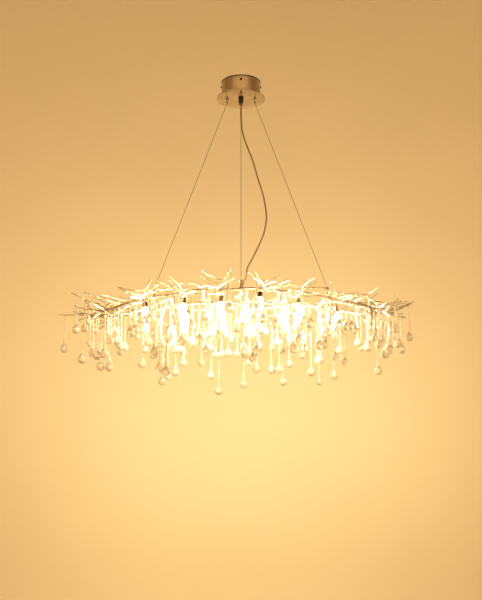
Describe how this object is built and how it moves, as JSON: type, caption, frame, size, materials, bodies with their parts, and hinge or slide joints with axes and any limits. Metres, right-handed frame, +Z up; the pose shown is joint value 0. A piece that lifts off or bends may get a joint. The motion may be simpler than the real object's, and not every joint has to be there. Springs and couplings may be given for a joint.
{
  "type": "pendant light",
  "caption": "Long oval pendant light on thin steel cables: polished metal branches hung with long-stemmed clear glass drops, lit by small capsule lamps under a round ceiling canopy.",
  "frame": {"origin": "centre of the canopy's ceiling face, at the middle of its ceiling screw holes", "axes": "+Z up, out of the ceiling face; +X along the long side of the branches; the front faces -Y"},
  "size_m": [1.0466, 0.4548, 0.948],
  "materials": {
    "polished_metal": "polished",
    "plain_steel": "satin",
    "brass_fittings": "plain",
    "block_plastic": "matte",
    "wire_sheath": "smooth",
    "clear_cord": "clear, glossy",
    "dark_nylon": "matte",
    "porcelain": "glazed",
    "lamp_glass": "frosted, lit",
    "drop_glass": "clear, polished"
  },
  "bodies": {
    "root": {"ceiling_bracket": "plain_steel", "canopy_drum": "polished_metal", "canopy_plate": "polished_metal", "plate_screws": "plain_steel", "side_screws": "polished_metal", "terminal_block": "block_plastic", "terminal_screws": "brass_fittings", "earth_terminal": "brass_fittings", "canopy_leads": "wire_sheath", "grip_bodies": "polished_metal", "grip_nuts": "plain_steel", "grip_springs": "plain_steel", "cord_gland": "dark_nylon", "gland_nut": "dark_nylon", "power_cord": "clear_cord", "suspension_cables": "plain_steel", "cable_balls": "plain_steel", "hanger_posts": "polished_metal", "front_stem": "polished_metal", "back_stem": "polished_metal", "cross_tubes": "polished_metal", "frame_inlet": "polished_metal", "stem_wires": "wire_sheath", "lamp_arms": "polished_metal", "holder_cups": "polished_metal", "lamp_holders": "porcelain", "lamps": "lamp_glass", "upper_branch_1": "polished_metal", "upper_branch_2": "polished_metal", "upper_branch_3": "polished_metal", "upper_branch_4": "polished_metal", "upper_branch_5": "polished_metal", "upper_branch_6": "polished_metal", "upper_branch_7": "polished_metal", "upper_branch_8": "polished_metal", "lower_branch_1": "polished_metal", "lower_branch_2": "polished_metal", "lower_branch_3": "polished_metal", "lower_branch_4": "polished_metal", "lower_branch_5": "polished_metal", "left_twigs": "polished_metal", "right_twigs": "polished_metal", "drop_rings": "plain_steel", "front_left_drops": "drop_glass", "front_right_drops": "drop_glass", "back_left_drops": "drop_glass", "back_right_drops": "drop_glass"},
    "release_left": {"release_left": "dark_nylon"},
    "release_right": {"release_right": "dark_nylon"},
    "release_front": {"release_front": "dark_nylon"},
    "release_back": {"release_back": "dark_nylon"},
    "swing_drop_1": {"swing_drop_1": "drop_glass"},
    "swing_drop_2": {"swing_drop_2": "drop_glass"},
    "swing_drop_3": {"swing_drop_3": "drop_glass"},
    "swing_drop_4": {"swing_drop_4": "drop_glass"},
    "swing_drop_5": {"swing_drop_5": "drop_glass"},
    "swing_drop_6": {"swing_drop_6": "drop_glass"},
    "swing_drop_7": {"swing_drop_7": "drop_glass"},
    "swing_drop_8": {"swing_drop_8": "drop_glass"},
    "swing_drop_9": {"swing_drop_9": "drop_glass"}
  },
  "joints": [
    {"name": "press_left", "type": "slide", "parent": "root", "child": "release_left", "axis": [0, 0, 1], "range_m": [0, 0.0015], "stiffness_N_per_m": 400, "springref_m": -0.001},
    {"name": "press_right", "type": "slide", "parent": "root", "child": "release_right", "axis": [0, 0, 1], "range_m": [0, 0.0015], "stiffness_N_per_m": 400, "springref_m": -0.001},
    {"name": "press_front", "type": "slide", "parent": "root", "child": "release_front", "axis": [0, 0, 1], "range_m": [0, 0.0015], "stiffness_N_per_m": 400, "springref_m": -0.001},
    {"name": "press_back", "type": "slide", "parent": "root", "child": "release_back", "axis": [0, 0, 1], "range_m": [0, 0.0015], "stiffness_N_per_m": 400, "springref_m": -0.001},
    {"name": "swing_drop_1_hinge", "type": "hinge", "parent": "root", "child": "swing_drop_1", "pos_m": [-0.51667, -0.00335, -0.74266], "axis": [0.0423, -0.9991, 0], "range_deg": [-12, 12]},
    {"name": "swing_drop_2_hinge", "type": "hinge", "parent": "root", "child": "swing_drop_2", "pos_m": [-0.4789, -0.03466, -0.69127], "axis": [0.3772, -0.9261, 0], "range_deg": [-12, 12]},
    {"name": "swing_drop_3_hinge", "type": "hinge", "parent": "root", "child": "swing_drop_3", "pos_m": [0.49323, -0.00463, -0.70943], "axis": [0.1065, 0.9943, 0], "range_deg": [-12, 12]},
    {"name": "swing_drop_4_hinge", "type": "hinge", "parent": "root", "child": "swing_drop_4", "pos_m": [0.42408, 0.06121, -0.74895], "axis": [-0.5649, 0.8252, 0], "range_deg": [-12, 12]},
    {"name": "swing_drop_5_hinge", "type": "hinge", "parent": "root", "child": "swing_drop_5", "pos_m": [-0.30432, -0.18344, -0.72859], "axis": [0.8466, -0.5323, 0], "range_deg": [-12, 12]},
    {"name": "swing_drop_6_hinge", "type": "hinge", "parent": "root", "child": "swing_drop_6", "pos_m": [-0.03656, -0.1965, -0.66392], "axis": [0.7959, 0.6055, 0], "range_deg": [-12, 12]},
    {"name": "swing_drop_7_hinge", "type": "hinge", "parent": "root", "child": "swing_drop_7", "pos_m": [0.04349, -0.20206, -0.66744], "axis": [0.8843, -0.4668, 0], "range_deg": [-12, 12]},
    {"name": "swing_drop_8_hinge", "type": "hinge", "parent": "root", "child": "swing_drop_8", "pos_m": [0.31627, -0.15439, -0.71635], "axis": [0.6863, 0.7273, 0], "range_deg": [-12, 12]},
    {"name": "swing_drop_9_hinge", "type": "hinge", "parent": "root", "child": "swing_drop_9", "pos_m": [-0.17973, 0.20031, -0.71998], "axis": [-0.8471, -0.5314, 0], "range_deg": [-12, 12]}
  ]
}
